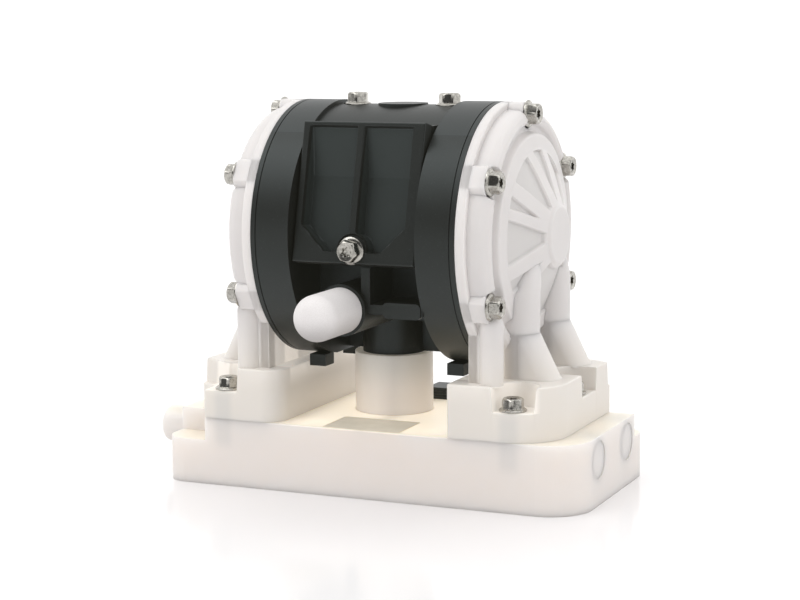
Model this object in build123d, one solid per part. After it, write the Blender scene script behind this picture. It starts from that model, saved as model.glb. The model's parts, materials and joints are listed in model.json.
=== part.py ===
from build123d import *
from math import cos, hypot, radians, sin, sqrt
import os

# Air operated diaphragm pump. X runs along the pump axis, Y to the rear and Z up. The origin is on the
# underside of the base, below the middle of the pump axis. All sizes are in millimetres.

# Fits and clearances
fit_gap = 0.05          # radial gap between fixed round pieces
run_gap = 0.06          # radial gap of a sliding shaft
seat_gap = 0.3          # gap below a ball that rests on its seat
screw_gap = 0.3         # radial gap round a screw shank

# Pump axis and the two drums of the air motor body
axis_z = 130.3
drum_r = 66.0
drum_in_x = 33.9
drum_out_x = 54.6
drum_flat_z = 65.2
core_r = 64.0
core_half_depth = 40.0
core_front_y = -30.0
core_low_z = 88.0
lug_size = (9.0, 10.0, 5.0)
lug_y = 20.0
rim_line_w = 0.6
rim_line_x = 51.6

# Valve chest and its leaning cover
cover_half_w = 32.8
cover_foot_y = -64.0
cover_foot_z = 119.6
cover_lean = 13.2       # degrees
cover_h = 70.2
cover_t = 8.0
gasket_t = 1.0
chest_gap = 0.2
channel_depth = 4.6
channel_rim = 4.0
rib_half_w = 2.6
cover_boss_r = 8.0
cover_screw_up = 7.3

# Exhaust side and the column that carries the motor body
column_x = -8.0
column_y = 4.0
column_r = 20.4
column_top_z = 66.0
spigot_r = 16.2
spigot_depth = 9.0
exhaust_z = 95.7
exhaust_boss_r = 13.0
exhaust_face_y = -60.0
muffler_r = 11.5
muffler_len = 36.0
muffler_thread_r = 6.4
muffler_thread_len = 12.0
tag_x = (13.4, 33.4)
tag_z = (92.6, 100.4)
tag_face_y = -57.0
shelf_t = 4.8
post_x = (1.6, 6.4)

# Top of the motor body
top_plug_r = 12.75
top_plug_t = 2.6
top_flat_z = 193.6
top_screw_x = 25.5

# Air inlet at the rear
air_port_r = 5.9
air_port_len = 14.0
air_boss_r = 12.0
air_boss_len = 8.0
air_port_z = 110.0

# Fluid caps
cap_flange_t = 5.0
bolt_circle_r = 60.1
bolt_seat_x = 67.4
bolt_boss_r = 8.0
hub_r = 13.7
hub_x = 84.0
dome_rim_r = 44.0
dome_rim_x = 71.0
bulge_x = 70.0
groove_x = 66.5
spoke_w = 5.6
spoke_angles = (18, 37, 75, 105, 143, 162, 198, 217, 255, 285, 323, 342)
pocket_depth = 3.6
pocket_r = (16.0, 42.0)
chamber_r = 49.0
chamber_x = 70.4
leg_x = 72.5
leg_y = 22.6
leg_r = 9.5
leg_top_z = 107.6
leg_bore_r = 5.0
gusset_top_z = 84.0
gusset_foot_x = 93.7
gusset_w = 10.0
skirt_half_w = 53.0
rib_r = 6.0
rib_x = 67.5
rib_top_z = 92.6

# Feet of the caps
foot_top_z = 61.7
foot_in_x = 46.0
foot_out_x = 101.0
foot_front_out_x = 97.0
foot_corner_r = 7.0
foot_pocket_y = (-18.0, 21.0)
foot_pocket_x = 86.0
foot_screw_x = 78.5
foot_screw_y = 46.0
foot_ledge_z = 51.5
niche_r = 10.0
foot_notch_x = 88.7
foot_notch_y = 35.0
foot_step_gap = 1.1     # gap between a foot screw's flange and the step beside it

# Base manifold
base_half_len = 113.5
base_half_w = 55.3
base_h = 34.9
slab_h = 23.0
corner_big_r = 22.0
corner_small_r = 12.0
port_z = 23.0
passage_r = 5.6
port_boss_r = 9.6
port_boss_len = 15.5
port_boss_round = 3.0
port_thread_r = 5.9
port_thread_len = 14.0
end_plug_r = 9.4
end_plug_t = 6.0
rear_plug_x = 6.0
rear_plug_y = 42.0
rear_plug_head = 16.0
rear_plug_h = 6.3
rear_plug_thread_r = 7.0
rear_plug_thread_len = 9.0

# Screws, M6 with a flange
screw_r = 3.0
flange_r = 6.9
flange_t = 1.6
hex_af = 10.0
head_h = 6.5
recess_r = 2.7
recess_depth = 2.0
cap_screw_len = 24.0
foot_screw_len = 28.0
top_screw_len = 20.0
cover_screw_len = 22.0

# Diaphragms, plates and rods
stroke = 5.0
diaphragm_t = 3.0
diaphragm_r = 56.0
diaphragm_flat_r = 37.0
convolution_r = 6.0
plate_r = 30.0
plate_t = 5.0
plate_hub_r = 11.0
rod_r = 7.0
stud_r = 4.0
stud_len = 12.0
bush_r = 9.5
bush_len = 11.0
rod_seal_r = 10.0
rod_seal_t = 4.0
pilot_up = 22.0
pilot_r = 3.0
pilot_share = 0.5       # pilot travel as a share of the rod's travel
pilot_bush_r = 6.0

# Main air valve
valve_y = -35.0
valve_z = 155.0
sleeve_r = 11.0
sleeve_half_len = 30.0
spool_r = 6.5
spool_half_len = 26.0
spool_travel = 3.0
land_w = 8.0

# Check valves
ball_r = 6.35
ball_lift = 3.5
cartridge_r = 9.0
seat_bore_r = 5.2
seat_t = 4.5
guide_gap = 0.5         # radial gap between a ball and its guide
guide_bar = 2.4
seal_r = 6.2
seal_w = 1.8


def cyl_x(r, x0, x1, y=0.0, z=axis_z):
    """Cylinder along X."""
    return Pos((x0 + x1) / 2, y, z) * Rot(0, 90, 0) * Cylinder(r, abs(x1 - x0))


def cyl_y(r, y0, y1, x=0.0, z=axis_z):
    """Cylinder along Y."""
    return Pos(x, (y0 + y1) / 2, z) * Rot(90, 0, 0) * Cylinder(r, abs(y1 - y0))


def cyl_z(r, z0, z1, x=0.0, y=0.0):
    """Cylinder along Z."""
    return Pos(x, y, (z0 + z1) / 2) * Cylinder(r, abs(z1 - z0))


def block(x0, x1, y0, y1, z0, z1):
    """Box between two corners."""
    return Pos((x0 + x1) / 2, (y0 + y1) / 2, (z0 + z1) / 2) * Box(abs(x1 - x0), abs(y1 - y0), abs(z1 - z0))


def plan(points, z0, z1):
    """Upright prism over an outline in X and Y."""
    return extrude(Plane.XY.offset(z0) * make_face(Polyline(*points, close=True)), amount=z1 - z0)


def side(points, x0, x1):
    """Prism along X over an outline in Y and Z."""
    return extrude(Plane.YZ.offset(x0) * make_face(Polyline(*points, close=True)), amount=x1 - x0)


def front(points, y0, y1):
    """Prism along Y over an outline in X and Z."""
    return extrude(Plane.XZ.offset(-y1) * make_face(Polyline(*points, close=True)), amount=y1 - y0)


def turned(points):
    """Solid of revolution about the pump axis from (x, radius) points."""
    return Pos(0, 0, axis_z) * revolve(make_face(Polyline(*points, close=True)), Axis.X)


def ring_x(r_in, r_out, x0, x1, y=0.0, z=axis_z):
    """Plain ring along X."""
    return cyl_x(r_out, x0, x1, y, z) - cyl_x(r_in, min(x0, x1) - 1, max(x0, x1) + 1, y, z)


def ring_z(r_in, r_out, z0, z1, x, y):
    """Plain ring along Z."""
    return cyl_z(r_out, z0, z1, x, y) - cyl_z(r_in, z0 - 1, z1 + 1, x, y)


def flange_screw(length):
    """Flange screw: head above z = 0, shank below."""
    flange = Pos(0, 0, flange_t / 2) * Cone(flange_r, flange_r * 0.86, flange_t)
    hexagon = extrude(RegularPolygon(hex_af / sqrt(3), 6), amount=head_h)
    dome = Pos(0, 0, head_h / 2) * Cone(flange_r * 1.1, hex_af / 2, head_h)
    socket = cyl_z(recess_r, head_h - recess_depth, head_h + 1)
    return flange + (hexagon & dome) - socket + cyl_z(screw_r, -length, 0.5)


def turn_left(shape):
    """The left cap and its pieces are the right ones turned half a turn about Z."""
    return Rot(0, 0, 180) * shape


cap_bolt_points = [
    (bolt_circle_r * cos(radians(a)), axis_z + bolt_circle_r * sin(radians(a)))
    for a in range(30, 390, 60)
]
cover_plane = Plane(
    origin=(0, cover_foot_y, cover_foot_z),
    x_dir=(1, 0, 0),
    z_dir=(0, -cos(radians(cover_lean)), sin(radians(cover_lean))),
)


def cover_point(up, out):
    """Y and Z of a point that lies up the leaning cover and out from its face."""
    s, c = sin(radians(cover_lean)), cos(radians(cover_lean))
    return cover_foot_y + up * s - out * c, cover_foot_z + up * c + out * s


def motor_body():
    """Air motor body: two drums, the core between them, the valve chest and the exhaust side."""
    drums = cyl_x(drum_r, -drum_out_x, -drum_in_x) + cyl_x(drum_r, drum_in_x, drum_out_x)
    core = cyl_x(core_r, -drum_in_x - 1, drum_in_x + 1)
    core &= block(-60, 60, -core_half_depth, core_half_depth, 0, 400)
    under = block(-drum_out_x - 1, drum_out_x + 1, -drum_r, drum_r, 0, drum_flat_z)
    drums, core = drums - under, core - under
    core -= block(-drum_in_x, drum_in_x, -60, core_front_y, 0, cover_foot_z)
    core -= block(-drum_in_x, drum_in_x, -60, column_y, 0, core_low_z)
    chest = side(
        [
            cover_point(0, -cover_t - gasket_t),
            cover_point(cover_h, -cover_t - gasket_t),
            (0, cover_point(cover_h, -cover_t - gasket_t)[1]),
            (0, cover_foot_z),
        ],
        -cover_half_w,
        cover_half_w,
    )
    cover_room = cover_plane * block(-drum_in_x, drum_in_x, -1, cover_h + 12, -cover_t - gasket_t, 40)
    body = drums + (core + chest + exhaust_side() - cover_room)
    body += lugs()
    body += cyl_y(air_boss_r, 0, core_half_depth + air_boss_len, 0, air_port_z)
    return body - body_cavities()


def exhaust_side():
    """Exhaust boss, its post, the shelf with the plain raised tag, and the spigot below."""
    out = cyl_y(exhaust_boss_r, exhaust_face_y, 0, column_x, exhaust_z)
    out += cyl_z(spigot_r, column_top_z - spigot_depth, exhaust_z, column_x, column_y)
    out += block(*post_x, tag_face_y, 0, exhaust_z, cover_foot_z + 1)
    middle = sum(tag_z) / 2
    out += block(column_x, drum_in_x + 0.5, tag_face_y, 0, middle - shelf_t / 2, middle + shelf_t / 2)
    tag = block(*tag_x, tag_face_y - 0.8, tag_face_y + 3, *tag_z)
    return out + fillet(tag.edges().filter_by(Axis.Y), 2.4)


def lugs():
    """Four locating lugs below the drums."""
    out = Part()
    w, d, h = lug_size
    for sx in (-1, 1):
        for sy in (-1, 1):
            x0, y0 = sx * drum_in_x, sy * lug_y
            out += block(x0, x0 + sx * w, y0 - d / 2, y0 + d / 2, drum_flat_z - h, drum_flat_z + 1)
    return out


def body_cavities():
    """Everything that is hollow in the motor body."""
    cut = Part()
    floor_x = drum_out_x - diaphragm_t / 2 - plate_t - stroke - 1.1
    for s in (-1, 1):
        cut += turned([
            (s * (drum_out_x + 1), 0),
            (s * (drum_out_x + 1), chamber_r),
            (s * (drum_out_x - 4), chamber_r),
            (s * floor_x, plate_r + 4),
            (s * floor_x, 0),
        ])
        cut += ring_x(chamber_r - 1, diaphragm_r + fit_gap, s * (drum_out_x - diaphragm_t / 2), s * (drum_out_x + 1))
        cut += ring_x(drum_r - 0.5, drum_r + 1, s * rim_line_x, s * (rim_line_x + rim_line_w))
        cut += cyl_x(bush_r + fit_gap, s * (floor_x - bush_len), s * (floor_x + 1))
        cut += cyl_x(rod_seal_r + fit_gap, s * (floor_x - bush_len - rod_seal_t), s * (floor_x - bush_len))
        cut += cyl_x(pilot_bush_r + fit_gap, s * (floor_x - bush_len), s * (floor_x + 1), 0, axis_z + pilot_up)
        for y, z in cap_bolt_points:
            cut += cyl_x(screw_r + screw_gap, s * (bolt_seat_x - cap_screw_len - 2), s * (drum_out_x + 1), y, z)
        cut += cyl_z(screw_r + screw_gap, top_flat_z - top_screw_len - 2, top_flat_z + 9, s * top_screw_x)
        cut += cyl_z(flange_r + 0.6, top_flat_z, top_flat_z + 9, s * top_screw_x)
    cut += cyl_x(rod_r + 1, -drum_in_x, drum_in_x)
    cut += cyl_x(pilot_r + 1, -drum_in_x, drum_in_x, 0, axis_z + pilot_up)
    cut += cyl_z(top_plug_r + fit_gap, core_r + axis_z - top_plug_t, core_r + axis_z + 9)
    cut += cyl_x(sleeve_r + fit_gap, -sleeve_half_len - 0.3, sleeve_half_len + 0.3, valve_y, valve_z)
    reach = sleeve_half_len + 0.3
    cut += block(-reach, reach, cover_foot_y, valve_y, valve_z - sleeve_r - fit_gap, valve_z + sleeve_r + fit_gap)
    cut += cyl_y(muffler_thread_r + fit_gap, exhaust_face_y - 1, exhaust_face_y + muffler_thread_len + 2,
                 column_x, exhaust_z)
    cut += cyl_y(air_port_r, core_half_depth + air_boss_len - air_port_len, core_half_depth + air_boss_len + 1,
                 0, air_port_z)
    cut += cover_plane * cyl_z(screw_r + screw_gap, -cover_screw_len - 4, 1, 0, cover_screw_up)
    return cut


def valve_cover():
    """Leaning cover of the valve chest, with two sunk channels, a centre rib and a screw boss."""
    plate = block(-cover_half_w, cover_half_w, 0, cover_h, -cover_t, 0)
    plate = fillet(plate.edges().filter_by(Axis.Z), 0.8)
    plate = fillet(plate.edges().group_by(Axis.Z)[-1].group_by(Axis.Y)[-1], 1.6)
    low, high = cover_screw_up + 1.5, cover_h - 3.5
    outer = cover_half_w - channel_rim
    for s in (-1, 1):
        outline = Polyline(
            (s * rib_half_w, low + 8),
            (s * rib_half_w, high),
            (s * (outer - 3), high),
            (s * outer, low + 13),
            (s * (outer - 12), low),
            (s * (cover_boss_r + 1), low),
            close=True,
        )
        floor = Plane.XY.offset(-channel_depth) * make_face(outline)
        plate -= extrude(floor, amount=channel_depth + 1, taper=-14)
    plate += cyl_z(cover_boss_r, -cover_t, 0, 0, cover_screw_up)
    plate -= cyl_z(flange_r + 0.3, -1.0, 2, 0, cover_screw_up)
    plate -= cyl_z(screw_r + screw_gap, -cover_t - 1, 1, 0, cover_screw_up)
    return cover_plane * plate


def cover_gasket():
    """Flat gasket between cover and chest, open over the valve sleeve."""
    w = cover_half_w - 1
    sheet = block(-w, w, 1, cover_h - 1, -cover_t - gasket_t, -cover_t)
    sheet -= cyl_z(screw_r + screw_gap, -cover_t - gasket_t - 1, 0, 0, cover_screw_up)
    up = (valve_z - cover_foot_z) / cos(radians(cover_lean))
    sheet -= block(-w + 4, w - 4, up - sleeve_r, up + sleeve_r, -cover_t - gasket_t - 1, 0)
    return cover_plane * sheet


def muffler():
    """Porous plastic silencer with a domed end and a threaded spigot."""
    y1 = exhaust_face_y - seat_gap
    body = cyl_y(muffler_r, y1 - muffler_len, y1, column_x, exhaust_z)
    body = fillet(body.edges().group_by(Axis.Y)[0], muffler_r * 0.8)
    return body + cyl_y(muffler_thread_r, y1 - 1, y1 + muffler_thread_len, column_x, exhaust_z)


def cap_shell():
    """Turned form of a fluid cap: flange, bulged ring, groove, dome and hub."""
    x0 = drum_out_x
    x1 = x0 + cap_flange_t
    outline = [
        Line((x0, 0), (x0, drum_r)),
        Line((x0, drum_r), (x1, drum_r)),
        Line((x1, drum_r), (x1, drum_r - 1.8)),
        ThreePointArc((x1, drum_r - 1.8), (bulge_x, drum_r - 10), (groove_x, dome_rim_r + 3.6)),
        Line((groove_x, dome_rim_r + 3.6), (groove_x, dome_rim_r + 1.4)),
        Line((groove_x, dome_rim_r + 1.4), (dome_rim_x, dome_rim_r)),
        ThreePointArc((dome_rim_x, dome_rim_r), (77.4, 30), (hub_x - 1.4, hub_r + 1)),
        Line((hub_x - 1.4, hub_r + 1), (hub_x, hub_r)),
        Line((hub_x, hub_r), (hub_x, 0)),
        Line((hub_x, 0), (x0, 0)),
    ]
    return Pos(0, 0, axis_z) * revolve(make_face(outline), Axis.X)


def cap_pockets():
    """Sunk pockets between the spokes, with floors that follow the dome."""
    r0, r1 = pocket_r
    x_at = lambda r: dome_rim_x + (hub_x - dome_rim_x - 2) * (dome_rim_r - r) / (dome_rim_r - hub_r)
    ring = turned([
        (x_at(r0) - pocket_depth, r0),
        (x_at(r1) - pocket_depth, r1),
        (hub_x + 2, r1),
        (hub_x + 2, r0),
    ])
    for angle in spoke_angles:
        spoke = Pos(hub_x, (r0 + r1) / 2, 0) * Box(60, r1 - r0 + 12, spoke_w)
        ring -= Pos(0, 0, axis_z) * Rot(angle, 0, 0) * spoke
    return ring


def foot_block():
    """Foot of the right cap: it seats on the base and holds both check valves."""
    outline = [
        (foot_in_x, -base_half_w),
        (foot_front_out_x, -base_half_w),
        (foot_front_out_x, foot_pocket_y[0]),
        (foot_pocket_x, foot_pocket_y[0]),
        (foot_pocket_x, foot_pocket_y[1]),
        (foot_out_x, foot_pocket_y[1]),
        (foot_out_x, foot_notch_y),
        (foot_notch_x, foot_notch_y),
        (foot_notch_x, base_half_w),
        (foot_in_x, base_half_w),
    ]
    foot = plan(outline, base_h, foot_top_z)
    upright = foot.edges().filter_by(Axis.Z)
    big = [e for e in upright if e.center().Y < -base_half_w + 1 and e.center().X > foot_front_out_x - 1]
    foot = fillet(big, foot_corner_r)
    upright = foot.edges().filter_by(Axis.Z)
    rear_in = [e for e in upright if e.center().Y > base_half_w - 1 and e.center().X < foot_in_x + 1]
    foot = fillet(rear_in, foot_corner_r + 4)
    foot -= cyl_z(niche_r, foot_ledge_z, foot_top_z + 1, foot_screw_x, -foot_screw_y)
    foot -= block(foot_screw_x - niche_r, foot_screw_x + niche_r, -base_half_w - 1, -foot_screw_y,
                  foot_ledge_z, foot_top_z + 1)
    foot -= block(foot_screw_x - flange_r - foot_step_gap, foot_out_x + 1, foot_notch_y, base_half_w + 1, foot_ledge_z, foot_top_z + 1)
    return foot


def fluid_cap():
    """Right fluid cap with its legs, ribs, bolt bosses and foot."""
    cap = cap_shell()
    for y, z in cap_bolt_points:
        cap += cyl_x(bolt_boss_r, drum_out_x, bolt_seat_x, y, z)
    cap -= cap_pockets()
    cap += block(drum_out_x, drum_out_x + cap_flange_t, -skirt_half_w, skirt_half_w, foot_top_z - 1, axis_z - 34)
    for s in (-1, 1):
        y = s * leg_y
        cap += cyl_z(leg_r, foot_top_z - 1, leg_top_z - leg_r, leg_x, y)
        cap += Pos(leg_x, y, leg_top_z - leg_r) * Sphere(leg_r)
        cap += block(drum_out_x, leg_x, y - leg_r * 0.8, y + leg_r * 0.8, foot_top_z - 1, leg_top_z - leg_r)
        cap += front([
            (leg_x, foot_top_z - 1),
            (gusset_foot_x, foot_top_z - 1),
            (gusset_foot_x, foot_top_z),
            (leg_x + leg_r, gusset_top_z),
            (leg_x, gusset_top_z),
        ], y - gusset_w / 2, y + gusset_w / 2)
        cap += cyl_z(rib_r, foot_top_z - 1, rib_top_z - rib_r, rib_x, s * (skirt_half_w - rib_r))
        cap += Pos(rib_x, s * (skirt_half_w - rib_r), rib_top_z - rib_r) * Sphere(rib_r)
        cap += block(drum_out_x, rib_x, s * skirt_half_w, s * (skirt_half_w - 2 * rib_r), foot_top_z - 1,
                     rib_top_z - rib_r / 2)
    cap += foot_block()
    return cap - cap_cavities()


def cap_cavities():
    """Fluid chamber, leg bores, check valve cages and screw holes of the right cap."""
    x0 = drum_out_x
    cut = turned([
        (x0 - 1, 0),
        (x0 - 1, chamber_r),
        (x0 + 4, chamber_r),
        (chamber_x - 3, plate_r + 4),
        (chamber_x, plate_hub_r + 4),
        (chamber_x, 0),
    ])
    cut += ring_x(chamber_r - 1, diaphragm_r + fit_gap, x0 - 1, x0 + diaphragm_t / 2)
    for y, z in cap_bolt_points:
        cut += cyl_x(screw_r + screw_gap, x0 - 1, bolt_seat_x + 1, y, z)
        cut += cyl_x(flange_r + 0.4, bolt_seat_x, hub_x, y, z)
    for s in (-1, 1):
        cut += cyl_z(leg_bore_r, base_h, leg_top_z - leg_r, leg_x, s * leg_y)
        cut += cyl_x(leg_bore_r, x0 + 4, leg_x, s * leg_y, leg_top_z - leg_r)
        cut += cyl_z(screw_r + screw_gap, base_h - 1, foot_ledge_z + 1, foot_screw_x, s * foot_screw_y)
        cut += cyl_z(cartridge_r + fit_gap, base_h - 1, base_h + cartridge_h, leg_x, s * leg_y)
        cut += ring_z(seal_r, seal_r + seal_w, base_h + cartridge_h - 1, base_h + cartridge_h + seal_w,
                      leg_x, s * leg_y)
    return cut


# A check valve cartridge is a seat and a guide. It stands seat down in an inlet and seat up in an outlet.
ball_stand = sqrt(ball_r ** 2 - seat_bore_r ** 2)
guide_h = ball_stand + ball_r + ball_lift + 2 * seat_gap + guide_bar
cartridge_h = seat_t + guide_h
inlet_ball_z = base_h + seat_t + ball_stand + seat_gap
outlet_ball_z = base_h + guide_bar + ball_r + seat_gap


def rounded_plan(corners, z0, z1):
    """Upright prism whose corners are given as (x, y, radius)."""
    solid = plan([(x, y) for x, y, r in corners], z0, z1)
    for x, y, r in corners:
        if r > 0:
            edge = [e for e in solid.edges().filter_by(Axis.Z) if hypot(e.center().X - x, e.center().Y - y) < 0.01]
            solid = fillet(edge, r)
    return solid


def base_manifold():
    """Base with the fluid passages, the stepped top and the column for the motor body."""
    length, width = base_half_len, base_half_w
    slab = rounded_plan([
        (-length, -width, corner_small_r),
        (length, -width, corner_big_r),
        (length, width, corner_small_r),
        (-length, width, corner_big_r),
    ], 0, slab_h)
    top = rounded_plan([
        (-foot_notch_x, -width, 0),
        (length, -width, corner_big_r),
        (length, foot_notch_y, 0),
        (foot_notch_x, foot_notch_y, 0),
        (foot_notch_x, width, 0),
        (-length, width, corner_big_r),
        (-length, -foot_notch_y, 0),
        (-foot_notch_x, -foot_notch_y, 0),
    ], slab_h, base_h)
    base = slab + top
    base += cyl_z(column_r, base_h - 1, column_top_z, column_x, column_y)
    for s in (-1, 1):
        boss = cyl_x(port_boss_r, -length - port_boss_len, -length + 20, s * leg_y, port_z)
        base += fillet(boss.edges().group_by(Axis.X)[0], port_boss_round)
    return base - base_cavities()


def base_cavities():
    """Passages, ports, screw holes, seal grooves and the column bore."""
    cut = Part()
    end = -base_half_len - port_boss_len
    for s in (-1, 1):
        cut += cyl_x(passage_r, end, base_half_len, s * leg_y, port_z)
        cut += cyl_x(port_thread_r, end - 1, end + port_thread_len, s * leg_y, port_z)
        cut += cyl_x(end_plug_r + fit_gap, base_half_len - end_plug_t, base_half_len + 1, s * leg_y, port_z)
        for t in (-1, 1):
            cut += cyl_z(leg_bore_r, port_z, base_h + 1, t * leg_x, s * leg_y)
            cut += ring_z(seal_r, seal_r + seal_w, base_h - seal_w, base_h + 1, t * leg_x, s * leg_y)
            cut += cyl_z(screw_r + screw_gap, foot_ledge_z - foot_screw_len - 2, base_h + 1,
                         t * foot_screw_x, s * foot_screw_y)
    cut += cyl_z(spigot_r + fit_gap, column_top_z - spigot_depth - 1, column_top_z + 1, column_x, column_y)
    cut += cyl_z(rear_plug_thread_r + fit_gap, base_h - rear_plug_thread_len - 1, base_h + 1,
                 rear_plug_x, rear_plug_y)
    return cut


def rear_port_plug():
    """Black blanking plug with a grooved square head."""
    h = rear_plug_head / 2
    head = block(-h, h, -h, h, 0, rear_plug_h)
    for i in range(1, 4):
        z = rear_plug_h * i / 4
        groove = block(-h - 1, h + 1, -h - 1, h + 1, z - 0.35, z + 0.35)
        head -= groove - block(-h + 0.6, h - 0.6, -h + 0.6, h - 0.6, 0, rear_plug_h)
    plug = head + cyl_z(rear_plug_thread_r, -rear_plug_thread_len, 0.5)
    return Pos(rear_plug_x, rear_plug_y, base_h) * plug


def end_plugs():
    """Flush plugs that close the passages at the right end."""
    x1 = base_half_len - 0.3
    return [cyl_x(end_plug_r, base_half_len - end_plug_t, x1, s * leg_y, port_z) for s in (-1, 1)]


def diaphragm():
    """Right diaphragm: clamped rim, one convolution and a flat middle with a stud hole."""
    x0, x1 = drum_out_x - diaphragm_t / 2, drum_out_x + diaphragm_t / 2
    disc = cyl_x(diaphragm_r, x0, x1)
    ring_r = diaphragm_flat_r + convolution_r
    disc -= ring_x(diaphragm_flat_r + 1, diaphragm_flat_r + 2 * convolution_r - 1, x0 - 1, x1 + 1)
    arc_face = make_face([
        Line((x0, ring_r - convolution_r), (x1, ring_r - convolution_r)),
        ThreePointArc((x1, ring_r - convolution_r), (x1 + convolution_r * 0.6, ring_r), (x1, ring_r + convolution_r)),
        Line((x1, ring_r + convolution_r), (x0, ring_r + convolution_r)),
        ThreePointArc((x0, ring_r + convolution_r), (x0 + convolution_r * 0.6, ring_r), (x0, ring_r - convolution_r)),
    ])
    disc += Pos(0, 0, axis_z) * revolve(arc_face, Axis.X)
    return disc - cyl_x(stud_r + 0.3, x0 - 5, x1 + 5)


def air_plate():
    """Plate on the air side of the right diaphragm."""
    x1 = drum_out_x - diaphragm_t / 2
    plate = turned([
        (x1, 0), (x1, plate_r - 2), (x1 - 2, plate_r), (x1 - 3, plate_r), (x1 - plate_t, plate_r - 4), (x1 - plate_t, 0),
    ])
    return plate - cyl_x(stud_r + fit_gap, x1 - plate_t - 1, x1 + 1)


def fluid_plate():
    """Plate on the fluid side with its hub and the stud that screws into the rod."""
    x0 = drum_out_x + diaphragm_t / 2
    plate = turned([
        (x0, 0), (x0, plate_r - 2), (x0 + 2, plate_r), (x0 + 3, plate_r), (x0 + plate_t, plate_r - 6),
        (x0 + plate_t, plate_hub_r), (x0 + plate_t + 2.4, plate_hub_r - 1.4), (x0 + plate_t + 2.4, 0),
    ])
    return plate + cyl_x(stud_r, drum_out_x - diaphragm_t / 2 - plate_t - stud_len, x0 + 1)


rod_half_len = drum_out_x - diaphragm_t / 2 - plate_t
chamber_floor_x = rod_half_len - stroke - 1.1


def diaphragm_rod():
    """Rod that ties both diaphragms together."""
    rod = cyl_x(rod_r, -rod_half_len, rod_half_len)
    for s in (-1, 1):
        rod -= cyl_x(stud_r + fit_gap, s * (rod_half_len - stud_len - 1), s * (rod_half_len + 1))
    return rod


def pilot_rod():
    """Pilot rod: the diaphragm plates push it at the end of each stroke."""
    half = rod_half_len - stroke * pilot_share - seat_gap
    rod = cyl_x(pilot_r, -half, half, 0, axis_z + pilot_up)
    for x in (-9, 0, 9):
        rod -= ring_x(pilot_r - 0.8, pilot_r + 1, x - 2, x + 2, 0, axis_z + pilot_up)
    return rod


def valve_spool():
    """Main valve spool with four lands."""
    spool = cyl_x(spool_r * 0.55, -spool_half_len, spool_half_len, valve_y, valve_z)
    pitch = (2 * spool_half_len - land_w) / 3
    for i in range(4):
        x = -spool_half_len + land_w / 2 + i * pitch
        spool += cyl_x(spool_r, x - land_w / 2, x + land_w / 2, valve_y, valve_z)
    return spool


def valve_sleeve():
    """Sleeve that the spool slides in, with ring grooves and cross holes."""
    sleeve = ring_x(spool_r + run_gap, sleeve_r, -sleeve_half_len, sleeve_half_len, valve_y, valve_z)
    for i in range(-2, 3):
        x = i * 11
        sleeve -= ring_x(sleeve_r - 1.2, sleeve_r + 1, x - 2.5, x + 2.5, valve_y, valve_z)
        sleeve -= cyl_z(1.6, valve_z - sleeve_r - 1, valve_z + sleeve_r + 1, x, valve_y)
    return sleeve


def ball_seat():
    """Check valve seat: a ring that the ball closes, standing on z = 0."""
    return ring_z(seat_bore_r, cartridge_r, 0, seat_t, 0, 0)


def ball_guide():
    """Sleeve above a seat with windows and a cross bar that stops the ball, standing on z = 0."""
    sleeve = ring_z(ball_r + guide_gap, cartridge_r, 0, guide_h, 0, 0)
    for angle in (45, 135):
        window = Rot(0, 0, angle) * block(-cartridge_r - 1, cartridge_r + 1, -2, 2, 4, guide_h - guide_bar - 2)
        sleeve -= window
    half = guide_bar / 2
    return sleeve + (cyl_z(cartridge_r, guide_h - guide_bar, guide_h) & block(-20, 20, -half, half, 0, 99))


def valve_places():
    """Places of the check valves: x, y and whether the seat is at the bottom."""
    return [(sx * leg_x, sy * leg_y, sy < 0) for sx in (-1, 1) for sy in (-1, 1)]


def seats_and_guides():
    """The four seats and the four guides."""
    seats, guides = [], []
    for x, y, inlet in valve_places():
        place = Pos(x, y, base_h) if inlet else Pos(x, y, base_h + cartridge_h) * Rot(180, 0, 0)
        seats.append(place * ball_seat())
        guides.append(place * Pos(0, 0, seat_t) * ball_guide())
    return seats, guides


def cartridge_seals():
    """Ring seals below and above each cartridge."""
    rings = []
    for x, y, inlet in valve_places():
        for z in (base_h - seal_w, base_h + cartridge_h):
            rings.append(ring_z(seal_r, seal_r + seal_w, z, z + seal_w, x, y))
    return rings


screw_right = flange_screw(cap_screw_len)
cap_screws_right = [Pos(bolt_seat_x, y, z) * Rot(0, 90, 0) * screw_right for y, z in cap_bolt_points]
foot_screw = flange_screw(foot_screw_len)
top_screw = flange_screw(top_screw_len)
right_cap = fluid_cap()
right_diaphragm = diaphragm()
right_air_plate = air_plate()
right_fluid_plate = fluid_plate()
ball_seats, ball_guides = seats_and_guides()

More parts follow.
